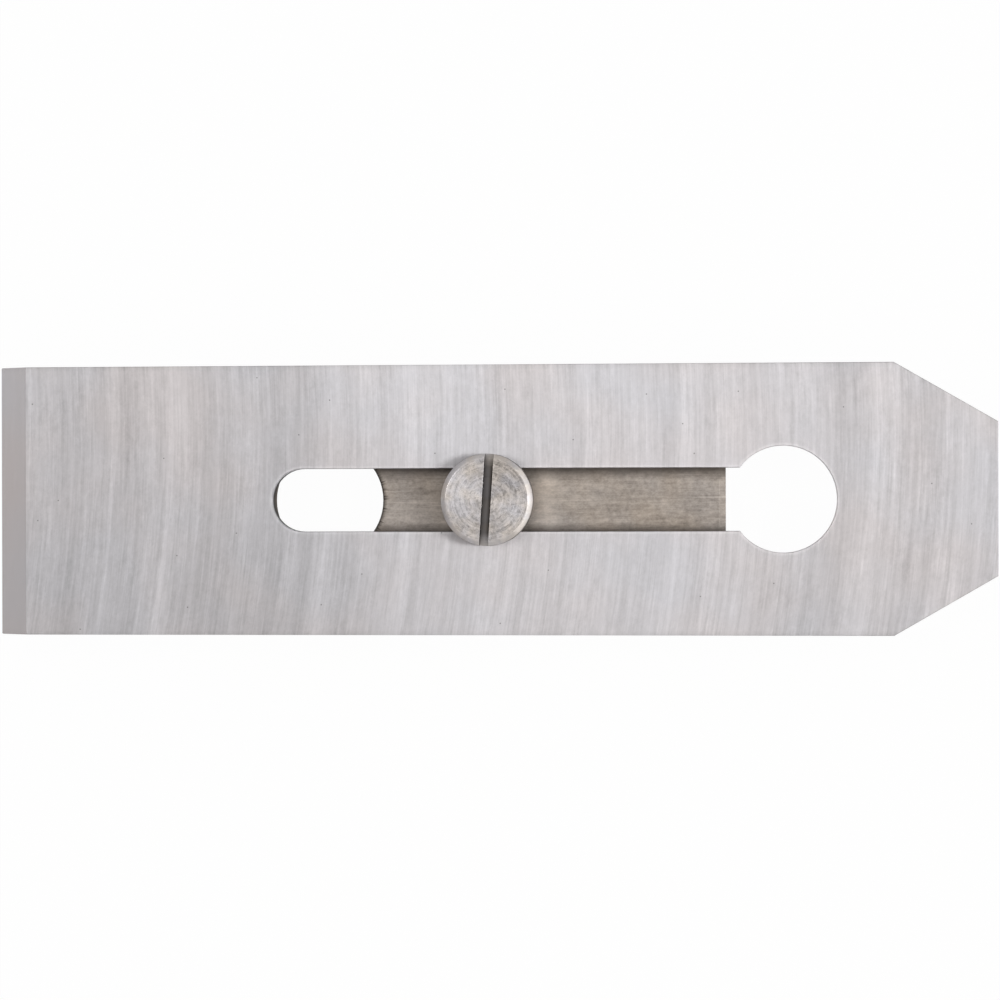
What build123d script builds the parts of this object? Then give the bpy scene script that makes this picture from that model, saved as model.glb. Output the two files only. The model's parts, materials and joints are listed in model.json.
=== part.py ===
from build123d import *
import os
from math import acos, atan2, cos, degrees, hypot, radians, sin

# Double iron of a bench plane: a cutting iron, the cap iron (chipbreaker) behind it, and the screw that
# clamps the two together through the cutting iron's keyhole slot.
# Millimetres. +X runs from the cutting edge to the top end, +Y goes across the iron, and +Z is up, towards
# the bevel side with the screw head. It lies as on a bench: Z = 0 is the crest of the cap iron's hump, the
# lowest point, and X = 0 is half way along the cutting iron.

# Cutting iron
iron_length = 178.0
iron_width = 48.0
iron_thickness = 3.0
bevel_angle = 30.0
corner_clip_along = 18.1
corner_clip_across = 10.5
slot_from_edge = 49.8
keyhole_from_top = 37.4
iron_edge_break = 0.1

# Cap screw
thread_diameter = 8.0
head_diameter = 16.3
head_height = 3.6
head_chamfer = 0.85
driver_slot_width = 1.6
driver_slot_depth = 1.9
driver_slot_tilt = 3.8
screw_end_chamfer = 0.8
screw_end_recess = 0.3

# Cap iron
cap_length = 129.3
cap_thickness = 3.0
lip_setback = 1.2
lip_land = 1.0
hump_rise = 2.8
hump_inner_radius = 12.0
ramp_angle = 14.0
ramp_bend_radius = 12.0
clamp_hole_diameter = 19.6
clamp_hole_from_lip = 58.4
screw_from_lip = 87.3
cap_corner_radius = 2.0
cap_end_ease_along = 1.2
cap_end_ease_deep = 0.5
cap_edge_break = 0.3

# Clearances between the pieces
slot_play = 1.6
keyhole_play = 1.3
thread_clearance = 0.05
cap_side_margin = 0.2

# Length of blank in front of the edge that grinding the bevel takes away
grinding_stock = 2.0

# Sizes that follow from those above
slot_width = thread_diameter + 2 * slot_play
keyhole_diameter = head_diameter + 2 * keyhole_play
cap_width = iron_width - 2 * cap_side_margin
hump_height = hump_rise + cap_thickness
hump_outer_radius = hump_inner_radius + cap_thickness

# Places along the iron and above the bench
edge_x = -iron_length / 2
top_x = iron_length / 2
keyhole_x = top_x - keyhole_from_top
slot_end_x = edge_x + slot_from_edge + slot_width / 2
lip_x = edge_x + lip_setback
screw_x = lip_x + screw_from_lip
back_z = hump_height
face_z = back_z + iron_thickness
head_z = face_z + head_height
cap_face_z = back_z - cap_thickness
screw_end_z = cap_face_z + screw_end_recess

os.makedirs("parts", exist_ok=True)


# Cutting iron: a ground plate with clipped top corners, a keyhole slot and one bevel
with BuildPart() as cutting_iron:
    with BuildSketch(Plane.XY.offset(back_z)):
        with BuildLine():
            Polyline(
                (edge_x - grinding_stock, -iron_width / 2),
                (top_x - corner_clip_along, -iron_width / 2),
                (top_x, -iron_width / 2 + corner_clip_across),
                (top_x, iron_width / 2 - corner_clip_across),
                (top_x - corner_clip_along, iron_width / 2),
                (edge_x - grinding_stock, iron_width / 2),
                close=True,
            )
        make_face()
        with Locations(((slot_end_x + keyhole_x) / 2, 0)):
            SlotCenterToCenter(keyhole_x - slot_end_x, slot_width, mode=Mode.SUBTRACT)
        with Locations((keyhole_x, 0)):
            Circle(keyhole_diameter / 2, mode=Mode.SUBTRACT)
    extrude(amount=iron_thickness)
    chamfer(cutting_iron.faces().filter_by(Axis.Z).edges(), length=iron_edge_break)
    # The bevel rises from the back of the plate to its face, and leaves a keen edge
    bevel_tilt = radians(bevel_angle)
    split(
        bisect_by=Plane(origin=(edge_x, 0, back_z), z_dir=(-sin(bevel_tilt), 0, cos(bevel_tilt))),
        keep=Keep.BOTTOM,
    )
cutting_iron.part.label = "cutting_iron"
export_step(cutting_iron.part, "parts/cutting_iron.step")


# Cap iron: a plate bent into a hump that springs its lip on to the back of the cutting iron. The profile is
# drawn from the lip, with X along the cutting iron's back and Y away from it.
ramp_tilt = radians(ramp_angle)
bend_reach = hump_inner_radius + cap_thickness + ramp_bend_radius
ramp_length = (hump_rise - bend_reach * (1 - cos(ramp_tilt))) / sin(ramp_tilt)
lip_angle = degrees(acos(1 - hump_height / hump_outer_radius))
crest_from_lip = hump_outer_radius * sin(radians(lip_angle))
flat_from_lip = crest_from_lip + bend_reach * sin(ramp_tilt) + ramp_length * cos(ramp_tilt)
# Under the lip, a straight relief runs from the land to where it is tangent to the inside of the hump
land_to_axis_along = crest_from_lip - lip_land
land_to_axis_above = hump_inner_radius - hump_rise
land_bearing = degrees(atan2(land_to_axis_along, land_to_axis_above))
land_to_axis = hypot(land_to_axis_along, land_to_axis_above)
relief_angle = land_bearing - degrees(acos(hump_inner_radius / land_to_axis))

with BuildPart() as cap_iron:
    with BuildSketch(Plane(origin=(lip_x, 0, back_z), x_dir=(1, 0, 0), z_dir=(0, 1, 0))):
        with BuildLine():
            flat_inside = Line((cap_length - cap_end_ease_along, 0), (flat_from_lip, 0))
            bend_inside = JernArc(
                flat_inside @ 1, flat_inside % 1, ramp_bend_radius + cap_thickness, -ramp_angle
            )
            ramp_inside = Line(bend_inside @ 1, bend_inside @ 1 + (bend_inside % 1) * ramp_length)
            hump_inside = JernArc(
                ramp_inside @ 1, ramp_inside % 1, hump_inner_radius, ramp_angle + relief_angle
            )
            Polyline(hump_inside @ 1, (lip_land, 0), (0, 0))
            flat_outside = Line(
                (cap_length - cap_end_ease_along, cap_thickness), (flat_from_lip, cap_thickness)
            )
            bend_outside = JernArc(flat_outside @ 1, flat_outside % 1, ramp_bend_radius, -ramp_angle)
            ramp_outside = Line(bend_outside @ 1, bend_outside @ 1 + (bend_outside % 1) * ramp_length)
            JernArc(ramp_outside @ 1, ramp_outside % 1, hump_outer_radius, ramp_angle + lip_angle)
            Polyline(
                flat_inside @ 0,
                (cap_length, cap_end_ease_deep),
                (cap_length, cap_thickness - cap_end_ease_deep),
                flat_outside @ 0,
            )
        make_face()
    extrude(amount=cap_width / 2, both=True)
    chamfer(cap_iron.faces().filter_by(Axis.Y).edges(), length=cap_edge_break)
    # Seen from above, the corners of the upper end are rounded
    with BuildSketch() as cap_plan:
        with Locations((lip_x + cap_length / 2, 0)):
            Rectangle(cap_length, cap_width)
        fillet(cap_plan.vertices().group_by(Axis.X)[-1], radius=cap_corner_radius)
    extrude(amount=back_z, mode=Mode.INTERSECT)
    with Locations((lip_x + clamp_hole_from_lip, 0, cap_face_z)):
        Hole(clamp_hole_diameter / 2)
    with Locations((screw_x, 0, cap_face_z)):
        Hole(thread_diameter / 2 + thread_clearance)
    hole_rims = [rim.edges() for flat in cap_iron.faces().filter_by(Axis.Z) for rim in flat.inner_wires()]
    chamfer(hole_rims, length=cap_edge_break)
cap_iron.part.label = "cap_iron"
export_step(cap_iron.part, "parts/cap_iron.step")


# Cap screw: a turned cheese head with a driver slot, and a threaded shank that ends inside the cap iron
with BuildPart() as cap_screw:
    with BuildSketch(Plane.XZ):
        with BuildLine():
            Polyline(
                (screw_x, screw_end_z),
                (screw_x + thread_diameter / 2 - screw_end_chamfer, screw_end_z),
                (screw_x + thread_diameter / 2, screw_end_z + screw_end_chamfer),
                (screw_x + thread_diameter / 2, face_z),
                (screw_x + head_diameter / 2, face_z),
                (screw_x + head_diameter / 2, head_z - head_chamfer),
                (screw_x + head_diameter / 2 - head_chamfer, head_z),
                (screw_x, head_z),
                close=True,
            )
        make_face()
    revolve(axis=Axis((screw_x, 0, 0), (0, 0, 1)))
    with BuildSketch(Plane.XY.offset(head_z)):
        with Locations((screw_x, 0)):
            Rectangle(driver_slot_width, 2 * head_diameter, rotation=-driver_slot_tilt)
    extrude(amount=-driver_slot_depth, mode=Mode.SUBTRACT)
cap_screw.part.label = "cap_screw"
export_step(cap_screw.part, "parts/cap_screw.step")
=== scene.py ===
"""Looks of a double plane iron: the cutting iron, the cap iron behind it and the screw that clamps the two.

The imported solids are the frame. Both irons show their own solids in ground and brushed steel. The screw is
modelled here, with its thread, its driver slot and its eased edges. Lengths are metres, and MM turns a size
in millimetres to metres.
"""

import json
import logging
import math
from dataclasses import dataclass
from enum import Enum
from typing import Any, Callable

import bmesh
import bpy
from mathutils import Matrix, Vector


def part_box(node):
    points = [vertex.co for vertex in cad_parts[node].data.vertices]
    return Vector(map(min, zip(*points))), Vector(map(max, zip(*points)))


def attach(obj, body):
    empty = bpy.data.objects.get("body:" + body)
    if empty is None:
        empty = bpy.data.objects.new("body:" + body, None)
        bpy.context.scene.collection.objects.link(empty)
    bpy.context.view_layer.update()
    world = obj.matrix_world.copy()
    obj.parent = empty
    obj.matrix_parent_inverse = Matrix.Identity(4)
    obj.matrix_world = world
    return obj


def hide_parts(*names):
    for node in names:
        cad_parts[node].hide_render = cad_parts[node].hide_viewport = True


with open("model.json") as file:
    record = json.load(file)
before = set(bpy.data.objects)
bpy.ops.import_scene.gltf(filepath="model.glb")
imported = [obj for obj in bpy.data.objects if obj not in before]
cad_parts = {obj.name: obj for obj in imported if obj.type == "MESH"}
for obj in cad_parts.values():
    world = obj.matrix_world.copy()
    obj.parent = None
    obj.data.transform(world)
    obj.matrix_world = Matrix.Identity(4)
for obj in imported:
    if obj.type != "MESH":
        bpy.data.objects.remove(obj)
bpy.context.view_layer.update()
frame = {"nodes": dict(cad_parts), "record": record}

MM = 0.001
NOISE_MEAN = 0.5
log = logging.getLogger("double_iron")

Tree = bpy.types.NodeTree
Socket = bpy.types.NodeSocket
Outputs = bpy.types.NodeOutputs


class Pick(Enum):
    """What a selection in edit mode is made of."""

    VERTS = "VERT"
    EDGES = "EDGE"


class Combine(Enum):
    """How a tool solid changes the piece that it meets."""

    CUT = "DIFFERENCE"
    ADD = "UNION"
    TRIM = "INTERSECT"


class Lay(Enum):
    """Which way a finish's finest marks run: the axis that its tangents turn about, and their turn."""

    ACROSS = ("Y", 0.0)
    ROUND = ("Z", 0.25)


def linear(hex_colour: str) -> tuple[float, float, float, float]:
    """Turns an sRGB hex colour to linear light.

    Args:
        hex_colour: Six hex digits after a hash sign.

    Returns:
        Linear red, green and blue, with an alpha of 1.
    """
    shares = [int(hex_colour[i : i + 2], 16) / 255 for i in (1, 3, 5)]
    red, green, blue = (s / 12.92 if s <= 0.04045 else ((s + 0.055) / 1.055) ** 2.4 for s in shares)
    return red, green, blue, 1.0


def add_node(
    tree: Tree, kind: str, inputs: dict[str | int, Any] | None = None, **settings: Any
) -> Outputs:
    """Adds a node with its settings, values and links.

    Args:
        tree: Node tree that gets the node.
        kind: Type of node, without the leading ShaderNode.
        inputs: A value, or an output socket to link, for each input by its name or number.
        settings: Properties of the node.

    Returns:
        The new node's outputs.
    """
    node = tree.nodes.new("ShaderNode" + kind)
    for name, value in settings.items():
        setattr(node, name, value)
    for key, value in (inputs or {}).items():
        if isinstance(value, Socket):
            tree.links.new(value, node.inputs[key])
        else:
            node.inputs[key].default_value = value
    return node.outputs


@dataclass(frozen=True)
class Streaks:
    """One layer of streaks: its broadest ones, how many times they halve, and how strong they are."""

    width: float
    length: float
    halvings: float
    weight: float

    def draw(self, tree: Tree, place: Socket) -> Socket:
        """Draws the layer.

        Args:
            tree: The material's node tree.
            place: Place on the surface, with the streaks along Y.

        Returns:
            How pale the streaks are, about NOISE_MEAN.
        """
        scale = (1 / self.width, 1 / self.length, 1 / self.length)
        scaled = add_node(tree, "Mapping", {"Vector": place, "Scale": scale})[0]
        return add_node(
            tree, "TexNoise", {"Vector": scaled, "Scale": 1.0, "Detail": self.halvings, "Roughness": 1.0}
        )["Fac"]

    def lay_over(self, tree: Tree, drawn: Socket, tone: Socket | float) -> Socket:
        """Lays the drawn layer over a tone.

        Args:
            tree: The material's node tree.
            drawn: What draw gave.
            tone: Tone under the layer.

        Returns:
            The tone, lighter and darker by the layer's weight.
        """
        pale = add_node(tree, "Math", {0: drawn, 1: NOISE_MEAN}, operation="SUBTRACT")[0]
        return add_node(tree, "Math", {0: pale, 1: self.weight, 2: tone}, operation="MULTIPLY_ADD")[0]


@dataclass(frozen=True)
class Marks:
    """What the tools left on a surface: the marks' tone, shine and height, each about 0 to 1."""

    tone: Socket
    shine: Socket
    height: Socket


@dataclass(frozen=True)
class Steel:
    """What every steel finish here has.

    Its colour goes from dark to light with the tone of its marks, and its gloss from rough to smooth with
    their shine. Its relief is how high they stand. Its gloss is drawn out across the lay of the marks. A
    thin film of oxide and oil tints it warm and cool in blotches of the film's size.
    """

    name: str
    dark: str
    light: str
    rough: float
    smooth: float
    relief: float
    lay: Lay
    drawn_out: float
    warm: str
    cool: str
    film_size: float
    film_halvings: float = 2.0
    film_spread: float = 0.15

    def pattern(self, tree: Tree) -> Marks:
        """Draws the marks of the tool that worked the surface.

        Args:
            tree: The material's node tree.

        Returns:
            The marks.
        """
        raise NotImplementedError

    def material(self) -> bpy.types.Material:
        """Makes the material.

        Returns:
            A metal whose colour, gloss and relief follow the finish's pattern.
        """
        material = bpy.data.materials.new(self.name)
        material.use_nodes = True
        tree = material.node_tree
        tree.nodes.clear()
        marks = self.pattern(tree)
        bare = add_node(
            tree,
            "Mix",
            {"Factor": marks.tone, "A": linear(self.dark), "B": linear(self.light)},
            data_type="RGBA",
        )["Result"]
        place = add_node(tree, "TexCoord")["Object"]
        film = add_node(
            tree,
            "TexNoise",
            {"Vector": place, "Scale": 1 / self.film_size, "Detail": self.film_halvings},
            noise_dimensions="2D",
        )["Fac"]
        share = add_node(
            tree,
            "MapRange",
            {
                "Value": film,
                "From Min": NOISE_MEAN - self.film_spread,
                "From Max": NOISE_MEAN + self.film_spread,
            },
        )[0]
        tint = add_node(
            tree,
            "Mix",
            {"Factor": share, "A": linear(self.warm), "B": linear(self.cool)},
            data_type="RGBA",
        )["Result"]
        colour = add_node(
            tree, "Mix", {"Factor": 1.0, "A": bare, "B": tint}, data_type="RGBA", blend_type="MULTIPLY"
        )["Result"]
        gloss = add_node(
            tree,
            "MapRange",
            {"Value": marks.shine, "To Min": self.rough, "To Max": self.smooth},
            clamp=False,
        )[0]
        bump = add_node(
            tree, "Bump", {"Strength": 1.0, "Distance": self.relief, "Height": marks.height}
        )[0]
        axis, turn = self.lay.value
        tangent = add_node(tree, "Tangent", direction_type="RADIAL", axis=axis)[0]
        shader = add_node(
            tree,
            "BsdfPrincipled",
            {
                "Base Color": colour,
                "Metallic": 1.0,
                "Roughness": gloss,
                "Anisotropic": self.drawn_out,
                "Anisotropic Rotation": turn,
                "Tangent": tangent,
                "Normal": bump,
            },
        )[0]
        add_node(tree, "OutputMaterial", {"Surface": shader})
        return material


@dataclass(frozen=True)
class GroundToolSteel(Steel):
    """Tool steel, ground across the blade by a large wheel and left satin, hardened at the cutting end."""

    # The wheel leaves long hair lines that bow across the blade, pale and dark, stronger in patches, with
    # broad bands between them. The grit's own lines are too fine to show, so the finest are drawn about
    # 0.2 mm wide. The hardened end is a shade darker, and painted shade darkens and dulls the steel towards
    # the top end. The bevel comes from a finer wheel and looks plainer and smoother. The long edges are a
    # little dull. The rims of the slot and the keyhole get a painted highlight, and below it the walls of
    # the milled slot, which aren't ground, go dark, with painted shade that deepens further down.
    name: str = "tool_steel_surface_ground"
    dark: str = "#4A4846"
    light: str = "#F1EFF1"
    rough: float = 0.62
    smooth: float = 0.31
    relief: float = 0.001 * MM
    lay: Lay = Lay.ACROSS
    drawn_out: float = 1.0
    warm: str = "#FFFCFB"
    cool: str = "#FCFDFF"
    film_size: float = 26 * MM
    level: float = 0.685
    hardened_to: float = -24.7 * MM
    hardened_fade: float = 17.7 * MM
    hardened_loss: float = 0.094
    top_shade_from: float = 9 * MM
    top_shade_to: float = 89 * MM
    top_shade_loss: float = 0.06
    wheel_radius: float = 212 * MM
    wheel_level: float = 12.4 * MM
    bands: Streaks = Streaks(24 * MM, 600 * MM, 2, 0.3)
    lines: Streaks = Streaks(3 * MM, 110 * MM, 4, 0.5)
    ticks: Streaks = Streaks(0.4 * MM, 4 * MM, 1, 0.1)
    grain: Streaks = Streaks(1.6 * MM, 2.4 * MM, 3, 0.22)
    patches: Streaks = Streaks(6 * MM, 18 * MM, 2, 1.7)
    speck_spacing: float = 17 * MM
    speck_radius: float = 0.16 * MM
    speck_tone: float = 0.4
    bevel_angle: float = math.radians(30)
    bevel_match: float = 0.98
    bevel_tone: float = 0.84
    bevel_shine: float = 1.3
    bevel_plainness: float = 0.8
    half_width: float = 0.0
    edge_width: float = 0.9 * MM
    edge_loss: float = 0.05
    slot_from: float = 0.0
    slot_radius: float = 0.0
    keyhole_x: float = 0.0
    keyhole_radius: float = 0.0
    rim_width: float = 0.6 * MM
    rim_highlight_gain: float = 0.15
    wall_tone: float = 0.0
    wall_rise: float = 0.5
    face_z: float = 0.0
    wall_shade_depth: float = 1.8 * MM

    def pattern(self, tree: Tree) -> Marks:
        """Draws the ground face, plainer on the bevel, with a few specks, and the slot's rim and walls.

        Args:
            tree: The material's node tree.

        Returns:
            The tone of all these, with the bevel's own shine, and the height of the lines.
        """
        coordinates = add_node(tree, "TexCoord")
        place = add_node(tree, "SeparateXYZ", {"Vector": coordinates["Object"]})
        lines, streaks = self.grinding(tree, place)
        slope = (-math.sin(self.bevel_angle), 0, math.cos(self.bevel_angle))
        facing = add_node(
            tree, "VectorMath", {0: coordinates["Normal"], 1: slope}, operation="DOT_PRODUCT"
        )["Value"]
        on_bevel = add_node(tree, "Math", {0: facing, 1: self.bevel_match}, operation="GREATER_THAN")[0]
        plain = add_node(tree, "Math", {0: on_bevel, 1: self.bevel_plainness}, operation="MULTIPLY")[0]
        ground = add_node(tree, "Mix", {"Factor": plain, "A": streaks, "B": self.bevel_tone})["Result"]
        clean = self.off_specks(tree, coordinates["Object"])
        face = add_node(tree, "Math", {0: ground, 1: clean}, operation="MULTIPLY")[0]
        reach = add_node(tree, "Math", {0: place["Y"]}, operation="ABSOLUTE")[0]
        loss = add_node(
            tree,
            "MapRange",
            {
                "Value": reach,
                "From Min": self.half_width - self.edge_width,
                "From Max": self.half_width,
                "To Max": self.edge_loss,
            },
        )[0]
        face = add_node(tree, "Math", {0: face, 1: loss}, operation="SUBTRACT")[0]
        off_slot, off_keyhole = self.off_outline(tree, place)
        off_rim = add_node(tree, "Math", {0: off_slot, 1: off_keyhole}, operation="MINIMUM")[0]
        # Painted highlight along the rims of the slot and the keyhole
        rim_highlight = add_node(
            tree,
            "MapRange",
            {"Value": off_rim, "From Max": self.rim_width, "To Min": self.rim_highlight_gain, "To Max": 0.0},
        )[0]
        face = add_node(tree, "Math", {0: face, 1: rim_highlight}, operation="ADD")[0]
        upright = add_node(tree, "SeparateXYZ", {"Vector": coordinates["Normal"]})["Z"]
        # The slot's walls go dark, with painted shade that deepens further down
        wall = self.on_slot_wall(tree, off_slot, upright, place["Z"])
        tone = add_node(tree, "Mix", {"Factor": wall, "A": face, "B": self.wall_tone})["Result"]
        shine = add_node(tree, "Mix", {"Factor": on_bevel, "A": tone, "B": self.bevel_shine})["Result"]
        return Marks(tone, shine, lines)

    def grinding(self, tree: Tree, place: Outputs) -> tuple[Socket, Socket]:
        """Draws the wheel's bowed streaks, stronger in patches, over broad bands.

        Args:
            tree: The material's node tree.
            place: Place on the blade.

        Returns:
            The lines alone, and the tone of all the streaks.
        """
        rise = add_node(tree, "Math", {0: place["Y"], 1: self.wheel_level}, operation="SUBTRACT")[0]
        square = add_node(tree, "Math", {0: rise, 1: rise}, operation="MULTIPLY")[0]
        curve = 1 / (2 * self.wheel_radius)
        across = add_node(tree, "Math", {0: square, 1: curve, 2: place["X"]}, operation="MULTIPLY_ADD")[0]
        bowed = add_node(tree, "CombineXYZ", {"X": across, "Y": place["Y"], "Z": place["Z"]})[0]
        lines = self.lines.draw(tree, bowed)
        fine = self.lines.lay_over(tree, lines, 0.0)
        for layer in (self.ticks, self.grain):
            fine = layer.lay_over(tree, layer.draw(tree, bowed), fine)
        strength = self.patches.lay_over(tree, self.patches.draw(tree, bowed), 1.0)
        bare = self.bare_tone(tree, place["X"])
        broad = self.bands.lay_over(tree, self.bands.draw(tree, bowed), bare)
        tone = add_node(tree, "Math", {0: fine, 1: strength, 2: broad}, operation="MULTIPLY_ADD")[0]
        return lines, tone

    def bare_tone(self, tree: Tree, along: Socket) -> Socket:
        """Sets the tone under the streaks, darker at the hardened end, with painted shade towards the top
        end.

        Args:
            tree: The material's node tree.
            along: Place along the blade.

        Returns:
            The tone.
        """
        level = add_node(
            tree,
            "MapRange",
            {
                "Value": along,
                "From Min": self.hardened_to - self.hardened_fade / 2,
                "From Max": self.hardened_to + self.hardened_fade / 2,
                "To Min": self.level - self.hardened_loss,
                "To Max": self.level,
            },
            interpolation_type="SMOOTHSTEP",
        )[0]
        # Painted shade: the tone falls towards the top end
        top_shade = add_node(
            tree,
            "MapRange",
            {
                "Value": along,
                "From Min": self.top_shade_from,
                "From Max": self.top_shade_to,
                "To Max": self.top_shade_loss,
            },
        )[0]
        return add_node(tree, "Math", {0: level, 1: top_shade}, operation="SUBTRACT")[0]

    def off_specks(self, tree: Tree, place: Socket) -> Socket:
        """Scatters a few dark specks.

        Args:
            tree: The material's node tree.
            place: Place on the blade.

        Returns:
            The share of the tone that is left, which is 1 off the specks.
        """
        nearest = add_node(
            tree,
            "TexVoronoi",
            {"Vector": place, "Scale": 1 / self.speck_spacing},
            voronoi_dimensions="2D",
        )["Distance"]
        speck_reach = self.speck_radius / self.speck_spacing
        return add_node(
            tree,
            "MapRange",
            {
                "Value": nearest,
                "From Min": speck_reach / 2,
                "From Max": speck_reach,
                "To Min": self.speck_tone,
            },
        )[0]

    def on_slot_wall(self, tree: Tree, off_slot: Socket, upright: Socket, height: Socket) -> Socket:
        """Finds the walls of the slot, which go dark under painted shade that deepens below the rim.

        Args:
            tree: The material's node tree.
            off_slot: Distance from the slot's outline.
            upright: How far the surface faces up.
            height: Height above the bench.

        Returns:
            How dark the wall is, which is 0 at the blade's face and off the walls.
        """
        steep = add_node(tree, "Math", {0: upright, 1: 0.0, 2: self.wall_rise}, operation="COMPARE")[0]
        inside = add_node(tree, "Math", {0: off_slot, 1: self.rim_width}, operation="LESS_THAN")[0]
        wall = add_node(tree, "Math", {0: steep, 1: inside}, operation="MULTIPLY")[0]
        # Painted shade, deeper further down the wall
        deep_wall_shade = add_node(
            tree,
            "MapRange",
            {
                "Value": height,
                "From Min": self.face_z - self.wall_shade_depth,
                "From Max": self.face_z,
                "To Min": 1.0,
                "To Max": 0.0,
            },
        )[0]
        return add_node(tree, "Math", {0: wall, 1: deep_wall_shade}, operation="MULTIPLY")[0]

    def off_outline(self, tree: Tree, place: Outputs) -> tuple[Socket, Socket]:
        """Measures how far the surface is from the outlines of the slot and the keyhole.

        Args:
            tree: The material's node tree.
            place: Place on the blade.

        Returns:
            The distances from the slot and from the keyhole, which are negative within them.
        """
        past = add_node(tree, "Math", {0: place["X"], 1: self.slot_from}, operation="MAXIMUM")[0]
        middle = add_node(tree, "Math", {0: past, 1: self.keyhole_x}, operation="MINIMUM")[0]
        distances = []
        for centre, radius in ((middle, self.slot_radius), (self.keyhole_x, self.keyhole_radius)):
            along = add_node(tree, "Math", {0: place["X"], 1: centre}, operation="SUBTRACT")[0]
            flat = add_node(tree, "CombineXYZ", {"X": along, "Y": place["Y"]})[0]
            length = add_node(tree, "VectorMath", {0: flat}, operation="LENGTH")["Value"]
            distances.append(add_node(tree, "Math", {0: length, 1: radius}, operation="SUBTRACT")[0])
        return distances[0], distances[1]


@dataclass(frozen=True)
class BrushedMildSteel(Steel):
    """Mild steel plate, finely milled across, belt brushed along its length, left dull, and punched."""

    # The belt leaves fine lines along the plate, with a few bright scratches. They lie in a warm, stained
    # grey that is darker than the blade. The mill's marks, too fine to see, draw its gloss out along the
    # plate, so that the screw's shadow falls on it. On the side towards the blade, above the hole, painted
    # shade darkens a stripe beside each wall of the blade's slot, more on one side, and a pale patch next to
    # the screw is a painted reflection of the head's lit side. The eased upper end is a little dull. The rim
    # of the punched hole is dark, with ticks on the blade's side, where the punch dragged the metal.
    name: str = "mild_steel_belt_brushed"
    dark: str = "#57524D"
    light: str = "#F3EAE0"
    rough: float = 0.65
    smooth: float = 0.45
    relief: float = 0.003 * MM
    lay: Lay = Lay.ACROSS
    drawn_out: float = 0.7
    warm: str = "#FFFAF5"
    cool: str = "#FCFBFC"
    film_size: float = 11 * MM
    level: float = 0.425
    lines: Streaks = Streaks(2.4 * MM, 40 * MM, 4, 0.48)
    grain: Streaks = Streaks(0.8 * MM, 1.2 * MM, 2, 0.45)
    stains: Streaks = Streaks(7 * MM, 9 * MM, 3, 0.35)
    scratches: Streaks = Streaks(0.35 * MM, 15 * MM, 0, 0.12)
    scratch_from: float = 0.74
    scratch_full: float = 0.82
    inner_rise: float = 0.5
    end_from: float = 0.0
    end_fade: float = 0.15 * MM
    end_share: float = 0.83
    stripe_shade_from: float = 0.0
    stripe_shade_width: float = 1.9 * MM
    stripe_shade_share: float = 0.75
    stripe_shade_lean: float = 0.3 * MM
    screw_x: float = 0.0
    light_patch_from_screw: float = 10.1 * MM
    light_patch_reach: float = 3.4 * MM
    light_patch_gain: float = 0.25
    hole_x: float = 0.0
    hole_radius: float = 0.0
    rim_width: float = 0.75 * MM
    tick_length: float = 0.5 * MM
    ticks_round: float = 150.0
    tick_halvings: float = 1.0
    tick_from: float = 0.5
    tick_full: float = 0.75

    def pattern(self, tree: Tree) -> Marks:
        """Draws brush lines over soft stains, the painted pale patch, the painted shade by the walls, the
        dull end and the hole's rim.

        Args:
            tree: The material's node tree.

        Returns:
            The tone of all these, which is their shine too, and the height of the lines.
        """
        coordinates = add_node(tree, "TexCoord")
        place = coordinates["Object"]
        spot = add_node(tree, "SeparateXYZ", {"Vector": place})
        upright = add_node(tree, "SeparateXYZ", {"Vector": coordinates["Normal"]})["Z"]
        inside = add_node(tree, "Math", {0: upright, 1: self.inner_rise}, operation="GREATER_THAN")[0]
        lines, brushed = self.brushing(tree, place)
        # Painted reflection: a pale patch beside the screw's lit side
        light_patch = self.painted_light_patch(tree, spot["X"])
        worked = add_node(tree, "Math", {0: light_patch, 1: inside, 2: brushed}, operation="MULTIPLY_ADD")[0]
        # Painted shade in stripes beside the walls of the blade's slot
        stripe_shade = self.stripe_shade(tree, spot)
        stripe_shaded = add_node(tree, "Math", {0: stripe_shade, 1: inside}, operation="MULTIPLY")[0]
        worked = add_node(tree, "Mix", {"Factor": stripe_shaded, "A": worked, "B": 0.0})["Result"]
        left_bright = add_node(
            tree,
            "MapRange",
            {
                "Value": spot["X"],
                "From Min": self.end_from,
                "From Max": self.end_from + self.end_fade,
                "To Min": 1.0,
                "To Max": self.end_share,
            },
        )[0]
        worked = add_node(tree, "Math", {0: worked, 1: left_bright}, operation="MULTIPLY")[0]
        clear = self.off_hole_rim(tree, place, inside)
        tone = add_node(tree, "Math", {0: worked, 1: clear}, operation="MULTIPLY")[0]
        return Marks(tone, tone, lines)

    def brushing(self, tree: Tree, place: Socket) -> tuple[Socket, Socket]:
        """Draws the belt's lines along the plate, with its grain, stains and bright scratches.

        Args:
            tree: The material's node tree.
            place: Place on the plate.

        Returns:
            The lines alone, and the tone of all these.
        """
        turned = add_node(tree, "Mapping", {"Vector": place, "Rotation": (0, 0, math.pi / 2)})[0]
        lines = self.lines.draw(tree, turned)
        tone = self.lines.lay_over(tree, lines, self.level)
        for layer in (self.grain, self.stains):
            tone = layer.lay_over(tree, layer.draw(tree, turned), tone)
        scratch = add_node(
            tree,
            "MapRange",
            {
                "Value": self.scratches.draw(tree, turned),
                "From Min": self.scratch_from,
                "From Max": self.scratch_full,
                "To Max": self.scratches.weight,
            },
        )[0]
        tone = add_node(tree, "Math", {0: tone, 1: scratch}, operation="ADD")[0]
        return lines, tone

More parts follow.
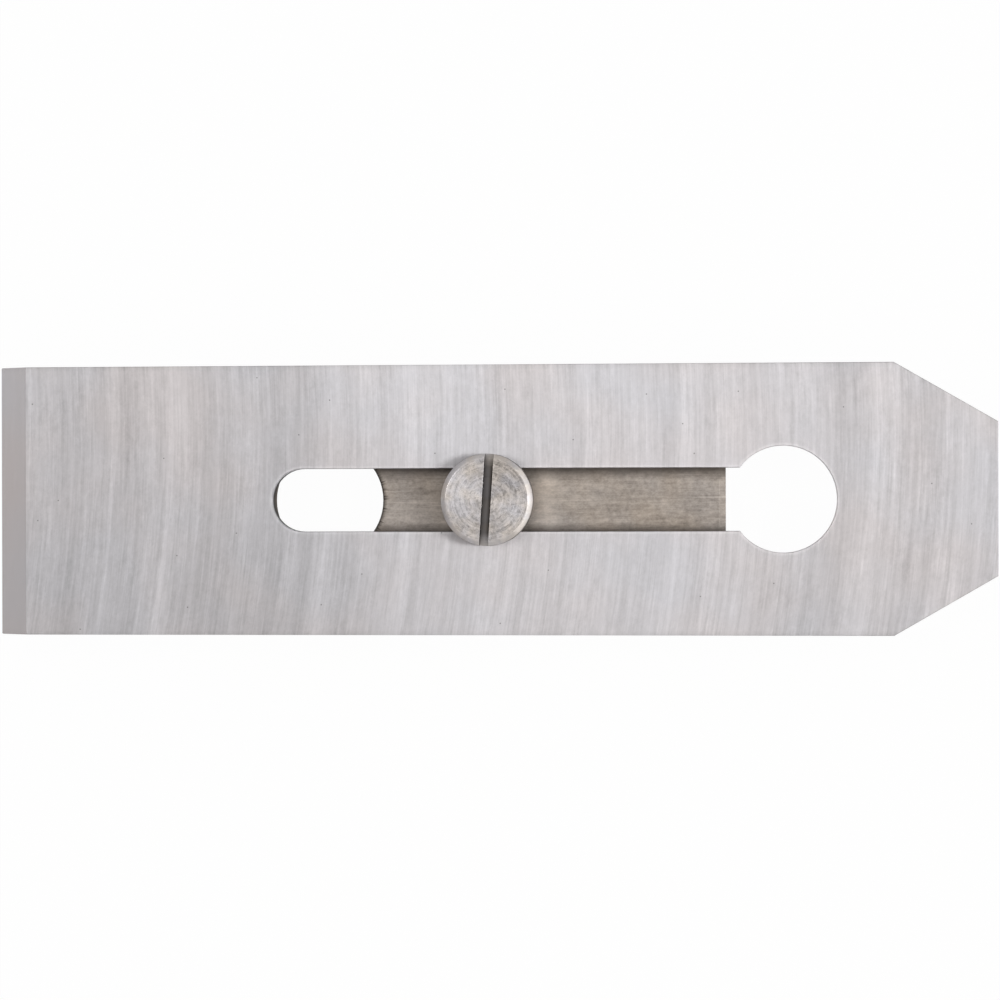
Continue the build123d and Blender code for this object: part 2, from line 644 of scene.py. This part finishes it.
    def painted_light_patch(self, tree: Tree, along: Socket) -> Socket:
        """Paints a pale patch next to the screw, a painted reflection of the head's lit side.

        Args:
            tree: The material's node tree.
            along: Place along the plate.

        Returns:
            The tone that the patch gains, which is 0 off it.
        """
        light_patch_x = self.screw_x + self.light_patch_from_screw
        off_light_patch = add_node(tree, "Math", {0: along, 1: light_patch_x}, operation="SUBTRACT")[0]
        off_light_patch = add_node(tree, "Math", {0: off_light_patch}, operation="ABSOLUTE")[0]
        return add_node(
            tree,
            "MapRange",
            {"Value": off_light_patch, "From Max": self.light_patch_reach, "To Min": self.light_patch_gain, "To Max": 0.0},
            interpolation_type="SMOOTHSTEP",
        )[0]

    def stripe_shade(self, tree: Tree, spot: Outputs) -> Socket:
        """Paints shade above the hole, in a stripe beside each wall of the blade's slot.

        Args:
            tree: The material's node tree.
            spot: Place on the plate.

        Returns:
            How deep the painted shade is, which is 0 off the stripes.
        """
        leaning = add_node(tree, "Math", {0: spot["Y"], 1: self.stripe_shade_lean}, operation="ADD")[0]
        off_middle = add_node(tree, "Math", {0: leaning}, operation="ABSOLUTE")[0]
        off_wall = add_node(tree, "Math", {0: off_middle, 1: self.stripe_shade_from}, operation="SUBTRACT")[0]
        off_wall = add_node(tree, "Math", {0: off_wall}, operation="ABSOLUTE")[0]
        stripe = add_node(
            tree,
            "MapRange",
            {"Value": off_wall, "From Max": self.stripe_shade_width, "To Min": self.stripe_shade_share, "To Max": 0.0},
        )[0]
        past_hole = add_node(tree, "Math", {0: spot["X"], 1: self.hole_x}, operation="GREATER_THAN")[0]
        return add_node(tree, "Math", {0: stripe, 1: past_hole}, operation="MULTIPLY")[0]

    def off_hole_rim(self, tree: Tree, place: Socket, inside: Socket) -> Socket:
        """Darkens the rim of the punched hole, and draws the punch's ticks.

        Args:
            tree: The material's node tree.
            place: Place on the plate.
            inside: 1 on the blade's side, which alone has the ticks, and 0 elsewhere.

        Returns:
            The share of the tone that is left, which is 1 off the rim and the ticks.
        """
        centred = add_node(tree, "Mapping", {"Vector": place, "Location": (-self.hole_x, 0, 0)})[0]
        flat = add_node(tree, "VectorMath", {0: centred, 1: (1, 1, 0)}, operation="MULTIPLY")[0]
        distance = add_node(tree, "VectorMath", {0: flat}, operation="LENGTH")["Value"]
        side = add_node(tree, "SeparateXYZ", {"Vector": centred})
        bearing = add_node(tree, "Math", {0: side["Y"], 1: side["X"]}, operation="ARCTAN2")[0]
        ticks = add_node(
            tree,
            "TexNoise",
            {"W": bearing, "Scale": self.ticks_round / math.tau, "Detail": self.tick_halvings},
            noise_dimensions="1D",
        )["Fac"]
        dragged = add_node(
            tree,
            "MapRange",
            {
                "Value": ticks,
                "From Min": self.tick_from,
                "From Max": self.tick_full,
                "To Max": self.tick_length,
            },
        )[0]
        dragged = add_node(tree, "Math", {0: dragged, 1: inside}, operation="MULTIPLY")[0]
        reach = add_node(tree, "Math", {0: distance, 1: dragged}, operation="SUBTRACT")[0]
        return add_node(
            tree,
            "MapRange",
            {"Value": reach, "From Min": self.hole_radius, "From Max": self.hole_radius + self.rim_width},
        )[0]


@dataclass(frozen=True)
class TurnedSteel(Steel):
    """Free-cutting steel, turned on a lathe and handled since, with old oil and painted shade in its driver
    slot.
    """

    # The lathe leaves arcs about the axis. Handling has scuffed them into a mottled, slightly warm grey,
    # and has worn the edges of the face and of the driver slot bright. The chamfer is plainer. The driver
    # has rubbed one half brighter. The head's side and the thread are dark with oil. The milled slot is dark
    # with oil and painted shade, most along one wall, where painted shadow falls, and least where it runs
    # out.
    name: str = "steel_turned"
    dark: str = "#4A4643"
    light: str = "#FFFCFA"
    rough: float = 0.45
    smooth: float = 0.25
    relief: float = 0.01 * MM
    lay: Lay = Lay.ROUND
    drawn_out: float = 0.65
    warm: str = "#FFFAF4"
    cool: str = "#F9FAFF"
    film_size: float = 4 * MM
    axis_x: float = 0.0
    face_z: float = 0.0
    face_radius: float = 0.0
    slot_width: float = 0.0
    slot_depth: float = 0.0
    slot_tilt: float = 0.0
    arc_width: float = 0.5 * MM
    arc_turns: float = 2.5
    arc_halvings: float = 3.0
    scuff_size: float = 1.0 * MM
    scuff_halvings: float = 4.0
    scuff_swirl: float = 1.0
    scuff_share: float = 0.55
    fineness: float = 0.8
    level: float = 0.7
    contrast: float = 3.1
    rubbed_from: float = 2 * MM
    rubbed_lean: float = 0.06
    worn_width: float = 0.22 * MM
    worn_share: float = 0.25
    chamfer_tone: float = 0.6
    chamfer_plainness: float = 0.8
    side_tone: float = 0.2
    side_rise: float = 0.55
    slot_slack: float = 0.02 * MM
    slot_rim: float = 0.04
    slot_wall_tone: float = 0.0
    slot_floor_tone: float = 0.17
    floor_dark_by: float = 1 / 3
    oil_and_shade_from: float = 0.8
    oil_and_shade_to: float = 1.1
    oil_and_shade_left: float = 0.4

    def pattern(self, tree: Tree) -> Marks:
        """Draws turned arcs broken up by scuffs, the worn edges, the plain chamfer and the dark slot.

        Args:
            tree: The material's node tree.

        Returns:
            The tone of all these, which is their shine too, and the height of arcs and scuffs.
        """
        coordinates = add_node(tree, "TexCoord")
        place = add_node(
            tree,
            "Mapping",
            {
                "Vector": coordinates["Object"],
                "Location": (self.axis_x, 0, self.face_z),
                "Rotation": (0, 0, -self.slot_tilt),
            },
            vector_type="TEXTURE",
        )[0]
        side = add_node(tree, "SeparateXYZ", {"Vector": place})
        flat = add_node(tree, "VectorMath", {0: place, 1: (1, 1, 0)}, operation="MULTIPLY")[0]
        radius = add_node(tree, "VectorMath", {0: flat}, operation="LENGTH")["Value"]
        lateral = add_node(tree, "Math", {0: side["X"]}, operation="ABSOLUTE")[0]
        worked = self.turning(tree, place, radius)
        face = self.rubbed_face(tree, worked, side["X"])
        on_chamfer = add_node(
            tree,
            "MapRange",
            {
                "Value": radius,
                "From Min": self.face_radius,
                "From Max": self.face_radius + self.worn_width,
                "To Max": self.chamfer_plainness,
            },
        )[0]
        turned = add_node(tree, "Mix", {"Factor": on_chamfer, "A": face, "B": self.chamfer_tone})["Result"]
        wear = self.worn_edges(tree, radius, lateral)
        worn = add_node(tree, "Mix", {"Factor": wear, "A": turned, "B": 1.0})["Result"]
        upright = add_node(tree, "SeparateXYZ", {"Vector": coordinates["Normal"]})["Z"]
        steep = add_node(tree, "Math", {0: upright, 1: 0.0, 2: self.side_rise}, operation="COMPARE")[0]
        sided = add_node(tree, "Mix", {"Factor": steep, "A": worn, "B": self.side_tone})["Result"]
        # Oil and painted shade darken the driver slot
        oily_and_shaded = self.oil_and_shade_in_slot(tree, side, lateral)
        milled = self.slot_tone(tree, side["X"], upright)
        tone = add_node(tree, "Mix", {"Factor": oily_and_shaded, "A": sided, "B": milled})["Result"]
        return Marks(tone, tone, worked)

    def turning(self, tree: Tree, place: Socket, radius: Socket) -> Socket:
        """Draws the lathe's arcs about the axis, broken up by scuffs.

        Args:
            tree: The material's node tree.
            place: Place on the screw, from the middle of its face.
            radius: Distance from the axis.

        Returns:
            How pale the arcs and scuffs are, about NOISE_MEAN.
        """
        side = add_node(tree, "SeparateXYZ", {"Vector": place})
        bearing = add_node(tree, "Math", {0: side["Y"], 1: side["X"]}, operation="ARCTAN2")[0]
        rings = add_node(tree, "Math", {0: radius, 1: self.arc_width}, operation="DIVIDE")[0]
        turns = add_node(tree, "Math", {0: bearing, 1: self.arc_turns / math.tau}, operation="MULTIPLY")[0]
        arcs = add_node(
            tree,
            "TexNoise",
            {
                "Vector": add_node(tree, "CombineXYZ", {"X": rings, "Y": turns})[0],
                "Scale": 1.0,
                "Detail": self.arc_halvings,
                "Roughness": self.fineness,
            },
        )["Fac"]
        scuffs = add_node(
            tree,
            "TexNoise",
            {
                "Vector": place,
                "Scale": 1 / self.scuff_size,
                "Detail": self.scuff_halvings,
                "Roughness": self.fineness,
                "Distortion": self.scuff_swirl,
            },
        )["Fac"]
        return add_node(tree, "Mix", {"Factor": self.scuff_share, "A": arcs, "B": scuffs})["Result"]

    def rubbed_face(self, tree: Tree, worked: Socket, across: Socket) -> Socket:
        """Mottles the face by its arcs and scuffs, with one half rubbed brighter.

        Args:
            tree: The material's node tree.
            worked: What turning gave.
            across: Place across the driver slot.

        Returns:
            The tone of the face.
        """
        mottled = add_node(
            tree,
            "MapRange",
            {
                "Value": worked,
                "To Min": self.level - self.contrast / 2,
                "To Max": self.level + self.contrast / 2,
            },
        )[0]
        lean = add_node(
            tree,
            "MapRange",
            {
                "Value": across,
                "From Min": -self.rubbed_from,
                "From Max": self.rubbed_from,
                "To Min": 1.0,
                "To Max": -1.0,
            },
        )[0]
        return add_node(
            tree, "Math", {0: lean, 1: self.rubbed_lean, 2: mottled}, operation="MULTIPLY_ADD"
        )[0]

    def worn_edges(self, tree: Tree, radius: Socket, lateral: Socket) -> Socket:
        """Wears the edges of the face and of the driver slot.

        Args:
            tree: The material's node tree.
            radius: Distance from the axis.
            lateral: Distance from the middle of the driver slot.

        Returns:
            How bright the edges are worn, which is 0 off them.
        """
        off_edge = add_node(tree, "Math", {0: radius, 1: self.face_radius}, operation="SUBTRACT")[0]
        off_edge = add_node(tree, "Math", {0: off_edge}, operation="ABSOLUTE")[0]
        off_slot = add_node(tree, "Math", {0: lateral, 1: self.slot_width / 2}, operation="SUBTRACT")[0]
        off_edge = add_node(tree, "Math", {0: off_edge, 1: off_slot}, operation="MINIMUM")[0]
        return add_node(
            tree,
            "MapRange",
            {"Value": off_edge, "From Max": self.worn_width, "To Min": self.worn_share, "To Max": 0.0},
        )[0]

    def oil_and_shade_in_slot(self, tree: Tree, side: Outputs, lateral: Socket) -> Socket:
        """Fills the driver slot with old oil and painted shade, least where it runs out.

        Args:
            tree: The material's node tree.
            side: Place on the screw, from the middle of its face, with the driver slot along Y.
            lateral: Distance from the middle of the driver slot.

        Returns:
            How much oil and painted shade the surface has, which is 0 outside the slot.
        """
        between = add_node(
            tree, "Math", {0: lateral, 1: self.slot_width / 2 + self.slot_slack}, operation="LESS_THAN"
        )[0]
        half_depth = self.slot_depth / 2
        middle = -(1 + self.slot_rim) * half_depth
        below = add_node(tree, "Math", {0: side["Z"], 1: middle, 2: half_depth}, operation="COMPARE")[0]
        recess = add_node(tree, "Math", {0: between, 1: below}, operation="MULTIPLY")[0]
        along = add_node(tree, "Math", {0: side["Y"]}, operation="ABSOLUTE")[0]
        # Oil and painted shade, less towards the slot's open ends
        oil_and_shade = add_node(
            tree,
            "MapRange",
            {
                "Value": along,
                "From Min": self.oil_and_shade_from * self.face_radius,
                "From Max": self.oil_and_shade_to * self.face_radius,
                "To Min": 1.0,
                "To Max": self.oil_and_shade_left,
            },
        )[0]
        return add_node(tree, "Math", {0: recess, 1: oil_and_shade}, operation="MULTIPLY")[0]

    def slot_tone(self, tree: Tree, across: Socket, upright: Socket) -> Socket:
        """Sets the tone of the slot, dark with oil and painted shade, whose floor goes as dark as its walls
        along one of them, a painted shadow of that wall.

        Args:
            tree: The material's node tree.
            across: Place across the driver slot.
            upright: How far the surface faces up.

        Returns:
            The tone of its walls and floor.
        """
        # Painted shadow of one wall darkens the floor beside it
        floor_tone = add_node(
            tree,
            "MapRange",
            {
                "Value": across,
                "From Min": 0.0,
                "From Max": self.floor_dark_by * self.slot_width,
                "To Min": self.slot_floor_tone,
                "To Max": self.slot_wall_tone,
            },
        )[0]
        return add_node(
            tree, "MapRange", {"Value": upright, "To Min": self.slot_wall_tone, "To Max": floor_tone}
        )[0]


def begin(piece: bpy.types.Object) -> None:
    """Makes a piece the only selected one and opens its mesh for modelling."""
    bpy.ops.object.select_all(action="DESELECT")
    piece.select_set(True)
    bpy.context.view_layer.objects.active = piece
    bpy.ops.object.mode_set(mode="EDIT")


def end() -> None:
    """Closes the mesh that is being modelled."""
    bpy.ops.object.mode_set(mode="OBJECT")


def pick(kind: Pick, wanted: Callable[[Any], bool]) -> None:
    """Selects the parts of the open mesh that pass a test.

    Args:
        kind: Vertices or edges.
        wanted: Test of one vertex or edge.
    """
    bpy.ops.mesh.select_mode(type=kind.value)
    bpy.ops.mesh.select_all(action="DESELECT")
    mesh = bpy.context.edit_object.data
    shape = bmesh.from_edit_mesh(mesh)
    for element in {Pick.VERTS: shape.verts, Pick.EDGES: shape.edges}[kind]:
        element.select_set(wanted(element))
    shape.select_flush_mode()
    bmesh.update_edit_mesh(mesh)


def primitive(add: Callable[..., set[str]], **sizes: Any) -> bpy.types.Object:
    """Adds a primitive with nothing else selected, and puts its place into its mesh.

    Args:
        add: The operator that adds it.
        sizes: The operator's own sizes and place.

    Returns:
        The new object, at the origin.
    """
    bpy.ops.object.select_all(action="DESELECT")
    add(**sizes)
    bpy.ops.object.transform_apply(location=True, rotation=True, scale=True)
    return bpy.context.object


def apply_modifier(piece: bpy.types.Object, kind: str, **settings: Any) -> None:
    """Puts a modifier on a piece and applies it.

    Args:
        piece: The piece to change.
        kind: Blender's name of the modifier's type.
        settings: Properties of the modifier.
    """
    bpy.ops.object.select_all(action="DESELECT")
    piece.select_set(True)
    bpy.context.view_layer.objects.active = piece
    modifier = piece.modifiers.new(kind.lower(), kind)
    for name, value in settings.items():
        setattr(modifier, name, value)
    bpy.ops.object.modifier_apply(modifier=modifier.name)


def combine(piece: bpy.types.Object, tool: bpy.types.Object, how: Combine) -> None:
    """Cuts, joins or trims a piece with a tool solid, which is used up.

    Args:
        piece: The piece to change.
        tool: The solid that changes it.
        how: Cut, add or trim.
    """
    apply_modifier(piece, "BOOLEAN", operation=how.value, object=tool, solver="EXACT")
    bpy.data.meshes.remove(tool.data)


@dataclass(frozen=True)
class Bore:
    """A round hole in an iron: where it is along the iron, and its radius."""

    x: float
    radius: float


def packed_bore(name: str) -> Bore:
    """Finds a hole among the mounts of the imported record.

    Args:
        name: The mount's name.

    Returns:
        The hole.
    """
    mount = next(m for m in frame["record"]["mounts"] if m["name"] == name)
    return Bore(mount["pos_m"][0], mount["dims"]["r_mm"] * MM)


@dataclass
class CuttingIron:
    """The blade. Its solid has the right shape, so it keeps it and gets its steel."""

    keyhole: Bore
    slot_from_edge: float = 49.8 * MM
    slot_radius: float = 5.6 * MM

    def dress(self) -> bpy.types.Object:
        """Gives the blade its ground steel.

        Returns:
            The blade.
        """
        node = frame["nodes"]["cutting_iron"]
        low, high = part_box("cutting_iron")
        finish = GroundToolSteel(
            half_width=high.y,
            face_z=high.z,
            slot_from=low.x + self.slot_from_edge + self.slot_radius,
            slot_radius=self.slot_radius,
            keyhole_x=self.keyhole.x,
            keyhole_radius=self.keyhole.radius,
        )
        node.material_slots[0].material = finish.material()
        return node


@dataclass
class CapIron:
    """The chipbreaker behind the blade. Its solid has the right shape too, and gets its own steel."""

    hole: Bore
    slot_radius: float
    screw_x: float
    end_ease: float = 1.2 * MM

    def dress(self) -> bpy.types.Object:
        """Gives the cap iron its brushed steel.

        Returns:
            The cap iron.
        """
        node = frame["nodes"]["cap_iron"]
        finish = BrushedMildSteel(
            end_from=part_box("cap_iron")[1].x - self.end_ease,
            stripe_shade_from=self.slot_radius,
            screw_x=self.screw_x,
            hole_x=self.hole.x,
            hole_radius=self.hole.radius,
        )
        node.material_slots[0].material = finish.material()
        return node


@dataclass
class CapScrew:
    """The slotted cheese-head screw that clamps the irons."""

    low: Vector
    high: Vector
    seat_z: float
    thread_diameter: float = 8 * MM
    thread_pitch: float = 1.25 * MM
    thread_depth_share: float = 0.613
    half_crest_share: float = 0.0625
    half_root_share: float = 0.375
    spare_turns: int = 3
    merge_share: float = 0.001
    end_chamfer: float = 0.8 * MM
    head_chamfer: float = 0.85 * MM
    slot_width: float = 1.6 * MM
    slot_depth: float = 1.9 * MM
    slot_tilt: float = math.radians(3.8)
    edge_ease: float = 0.06 * MM
    ease_segments: int = 2
    ease_above: float = math.radians(35)
    smooth_below: float = math.radians(30)
    seat_gap: float = 0.01 * MM
    sides: int = 128
    thread_steps: int = 64
    profile_cuts: int = 4

    @property
    def axis_x(self) -> float:
        """Where the screw's axis stands along the iron."""
        return (self.low.x + self.high.x) / 2

    @property
    def head_radius(self) -> float:
        """Half the head's width, from the solid that the screw stands for."""
        return (self.high.x - self.low.x) / 2

    def head(self) -> bpy.types.Object:
        """Turns the head, a chamfered disc that clears the blade by a hair, and mills the driver slot.

        Returns:
            The head, with every sharp edge eased.
        """
        underside = self.seat_z + self.seat_gap
        height = self.high.z - underside
        disc = primitive(
            bpy.ops.mesh.primitive_cylinder_add,
            vertices=self.sides,
            radius=self.head_radius,
            depth=height,
            location=(self.axis_x, 0, underside + height / 2),
        )
        begin(disc)
        pick(Pick.EDGES, lambda e: all(v.co.z > self.high.z - self.edge_ease for v in e.verts))
        bpy.ops.mesh.bevel(offset=self.head_chamfer, offset_type="OFFSET", segments=1, affect="EDGES")
        end()
        # The milling bar reaches past the head at both ends, and half of it stands above the head
        bar = primitive(
            bpy.ops.mesh.primitive_cube_add,
            size=1,
            scale=(self.slot_width, 4 * self.head_radius, 2 * self.slot_depth),
            location=(self.axis_x, 0, self.high.z),
            rotation=(0, 0, -self.slot_tilt),
        )
        combine(disc, bar, Combine.CUT)
        apply_modifier(
            disc,
            "BEVEL",
            width=self.edge_ease,
            segments=self.ease_segments,
            limit_method="ANGLE",
            angle_limit=self.ease_above,
        )
        return disc

    def threaded_rod(self) -> bpy.types.Object:
        """Winds one pitch of thread profile into a rod that runs past both ends of the shank.

        Returns:
            The rod, with flat ends.
        """
        pitch = self.thread_pitch
        crest = self.thread_diameter / 2
        root = crest - self.thread_depth_share * pitch
        turns = math.ceil((self.seat_z - self.low.z) / pitch) + self.spare_turns
        start = self.low.z - self.spare_turns / 2 * pitch
        rod = primitive(
            bpy.ops.mesh.primitive_plane_add,
            size=pitch,
            location=(root + pitch / 2, 0, start),
            rotation=(math.pi / 2, 0, 0),
        )
        begin(rod)
        pick(Pick.VERTS, lambda v: v.co.x > root + pitch / 2)
        bpy.ops.mesh.delete(type="VERT")
        # The cuts leave two points either side of the middle, half a step and one and a half steps from it.
        # The nearer pair becomes the crest, and the further pair the feet of the flanks.
        bpy.ops.mesh.select_all(action="SELECT")
        bpy.ops.mesh.subdivide(number_cuts=self.profile_cuts)
        step = 1 / (self.profile_cuts + 1)
        crest_stretch = self.half_crest_share / (0.5 * step)
        foot_stretch = self.half_root_share / (1.5 * step)
        pick(Pick.VERTS, lambda v: abs(v.co.z - start) < step * pitch)
        bpy.ops.transform.translate(value=(crest - root, 0, 0))
        bpy.ops.transform.resize(value=(1, 1, crest_stretch), center_override=(crest, 0, start))
        pick(Pick.VERTS, lambda v: step * pitch < abs(v.co.z - start) < 2 * step * pitch)
        bpy.ops.transform.resize(value=(1, 1, foot_stretch), center_override=(root, 0, start))
        end()
        apply_modifier(
            rod,
            "SCREW",
            axis="Z",
            screw_offset=pitch,
            iterations=turns,
            steps=self.thread_steps,
            render_steps=self.thread_steps,
            use_merge_vertices=True,
            merge_threshold=self.merge_share * pitch,
        )
        begin(rod)
        bpy.ops.mesh.select_all(action="SELECT")
        bpy.ops.transform.translate(value=(self.axis_x, 0, 0))
        bpy.ops.mesh.normals_make_consistent(inside=False)
        for level, outward in ((self.low.z, -1), (self.seat_z + self.slot_depth / 2, 1)):
            bpy.ops.mesh.select_all(action="SELECT")
            bpy.ops.mesh.bisect(
                plane_co=(self.axis_x, 0, level),
                plane_no=(0, 0, outward),
                use_fill=True,
                clear_outer=True,
            )
        end()
        return rod

    def shank(self) -> bpy.types.Object:
        """Cuts the threaded shank with its chamfered end.

        Returns:
            The shank, which runs a little way up into the head.
        """
        rod = self.threaded_rod()
        top = self.seat_z + self.slot_depth
        blank = primitive(
            bpy.ops.mesh.primitive_cylinder_add,
            vertices=self.sides,
            radius=self.thread_diameter / 2 + self.edge_ease,
            depth=top - self.low.z,
            location=(self.axis_x, 0, (top + self.low.z) / 2),
        )
        begin(blank)
        pick(Pick.EDGES, lambda e: all(v.co.z < self.low.z + self.edge_ease for v in e.verts))
        bpy.ops.mesh.bevel(offset=self.end_chamfer, offset_type="OFFSET", segments=1, affect="EDGES")
        end()
        combine(rod, blank, Combine.TRIM)
        return rod

    def build(self) -> bpy.types.Object:
        """Models the whole screw and puts it in its place.

        Returns:
            The finished screw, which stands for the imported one.
        """
        screw = self.head()
        combine(screw, self.shank(), Combine.ADD)
        bpy.ops.object.shade_smooth_by_angle(angle=self.smooth_below)
        apply_modifier(screw, "WEIGHTED_NORMAL", keep_sharp=True)
        screw.name = "slotted_cap_screw"
        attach(screw, "cap_screw")
        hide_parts("cap_screw")
        return screw

    def dress(self, screw: bpy.types.Object) -> None:
        """Gives the screw its turned steel."""
        finish = TurnedSteel(
            axis_x=self.axis_x,
            face_z=self.high.z,
            face_radius=self.head_radius - self.head_chamfer,
            slot_width=self.slot_width,
            slot_depth=self.slot_depth,
            slot_tilt=self.slot_tilt,
        )
        screw.data.materials.clear()
        screw.data.materials.append(finish.material())


@dataclass(frozen=True)
class Softbox:
    """A lamp behind a cloth panel."""

    name: str
    place: tuple[float, float, float]
    width: float
    height: float
    power: float

    def hang(self) -> None:
        """Hangs the softbox so that it faces the middle of the object."""
        data = bpy.data.lights.new(self.name, "AREA")
        data.shape = "RECTANGLE"
        data.size = self.width
        data.size_y = self.height
        data.energy = self.power
        lamp = bpy.data.objects.new(self.name, data)
        lamp.location = self.place
        lamp.rotation_euler = (-Vector(self.place)).to_track_quat("-Z", "Y").to_euler()
        bpy.context.scene.collection.objects.link(lamp)


@dataclass
class Studio:
    """A white floor and soft light, with the camera above the bevel side."""

    camera_place: tuple[float, float, float] = (42.95 * MM, 0.07 * MM, 508.8 * MM)
    camera_pitch: float = math.radians(-0.012)
    camera_yaw: float = math.radians(4.7246)
    camera_roll: float = math.radians(-0.1415)
    focal_share: float = 2.8315
    sensor: float = 36.0
    floor_size: float = 40.0
    floor_colour: str = "#F4F4F4"
    floor_glow: float = 0.97
    left_colour: str = "#BAB6B4"
    right_colour: str = "#DFDEDE"
    softboxes: tuple[Softbox, ...] = (
        Softbox("key_softbox", (1.81, -0.05, 1.57), 0.7, 0.85, 10.5),
        Softbox("side_softbox", (0.62, -0.02, 0.1), 1.45, 0.18, 1.25),
        Softbox("back_softbox", (-0.5, 0.215, 0.8), 0.37, 0.3, 1.03),
    )

    def camera(self) -> None:
        """Sets the camera where the photographed outline puts it."""
        data = bpy.data.cameras.new("camera")
        data.sensor_width = self.sensor
        data.lens = self.focal_share * self.sensor
        camera = bpy.data.objects.new("camera", data)
        camera.location = self.camera_place
        camera.rotation_mode = "ZXY"
        camera.rotation_euler = (self.camera_pitch, self.camera_yaw, self.camera_roll)
        bpy.context.scene.collection.objects.link(camera)
        bpy.context.scene.camera = camera

    def world(self) -> None:
        """Surrounds the object with a pale grey room that is warmer on the left."""
        world = bpy.data.worlds.new("pale_room")
        bpy.context.scene.world = world
        world.use_nodes = True
        tree = world.node_tree
        tree.nodes.clear()
        direction = add_node(tree, "TexCoord")["Generated"]
        sideways = add_node(tree, "SeparateXYZ", {"Vector": direction})["X"]
        share = add_node(tree, "MapRange", {"Value": sideways, "From Min": -1.0, "From Max": 1.0})[0]
        walls = add_node(
            tree,
            "Mix",
            {"Factor": share, "A": linear(self.left_colour), "B": linear(self.right_colour)},
            data_type="RGBA",
        )["Result"]
        room = add_node(tree, "Background", {"Color": walls, "Strength": 1.0})[0]
        add_node(tree, "OutputWorld", {"Surface": room})

    def floor(self) -> None:
        """Lays a white floor that keeps a faint shadow of the object, and is clear from below."""
        floor = primitive(bpy.ops.mesh.primitive_plane_add, size=self.floor_size, location=(0, 0, 0))
        floor.name = "floor"
        material = bpy.data.materials.new("white_paper")
        material.use_nodes = True
        tree = material.node_tree
        tree.nodes.clear()
        paper = add_node(tree, "BsdfDiffuse", {"Color": linear(self.floor_colour)})[0]
        glow = add_node(tree, "Emission", {"Color": (1, 1, 1, 1), "Strength": 1.0})[0]
        path = add_node(tree, "LightPath")
        seen = path["Is Camera Ray"]
        for ray in ("Is Glossy Ray", "Is Transmission Ray"):
            seen = add_node(tree, "Math", {0: seen, 1: path[ray]}, operation="MAXIMUM")[0]
        share = add_node(tree, "Math", {0: seen, 1: self.floor_glow}, operation="MULTIPLY")[0]
        mixed = add_node(tree, "MixShader", {0: share, 1: paper, 2: glow})[0]
        clear = add_node(tree, "BsdfTransparent")[0]
        below = add_node(tree, "NewGeometry")["Backfacing"]
        sided = add_node(tree, "MixShader", {0: below, 1: mixed, 2: clear})[0]
        add_node(tree, "OutputMaterial", {"Surface": sided})
        floor.data.materials.append(material)

    def build(self) -> None:
        """Sets up the camera, the floor and the light."""
        bpy.context.scene.view_settings.view_transform = "Standard"
        self.camera()
        self.world()
        self.floor()
        for softbox in self.softboxes:
            softbox.hang()


def main() -> None:
    """Builds and dresses the pieces in order, then the studio round them."""
    logging.basicConfig(level=logging.INFO, format="%(message)s")
    cutting_iron = CuttingIron(packed_bore("keyhole"))
    blade = cutting_iron.dress()
    log.info("%s dressed", blade.name)
    low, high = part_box("cap_screw")
    cap_screw = CapScrew(low, high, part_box("cutting_iron")[1].z)
    cap = CapIron(packed_bore("clamp_hole"), cutting_iron.slot_radius, cap_screw.axis_x).dress()
    log.info("%s dressed", cap.name)
    screw = cap_screw.build()
    cap_screw.dress(screw)
    log.info("%s built with %d faces", screw.name, len(screw.data.polygons))
    Studio().build()


if __name__ == "__main__":
    main()
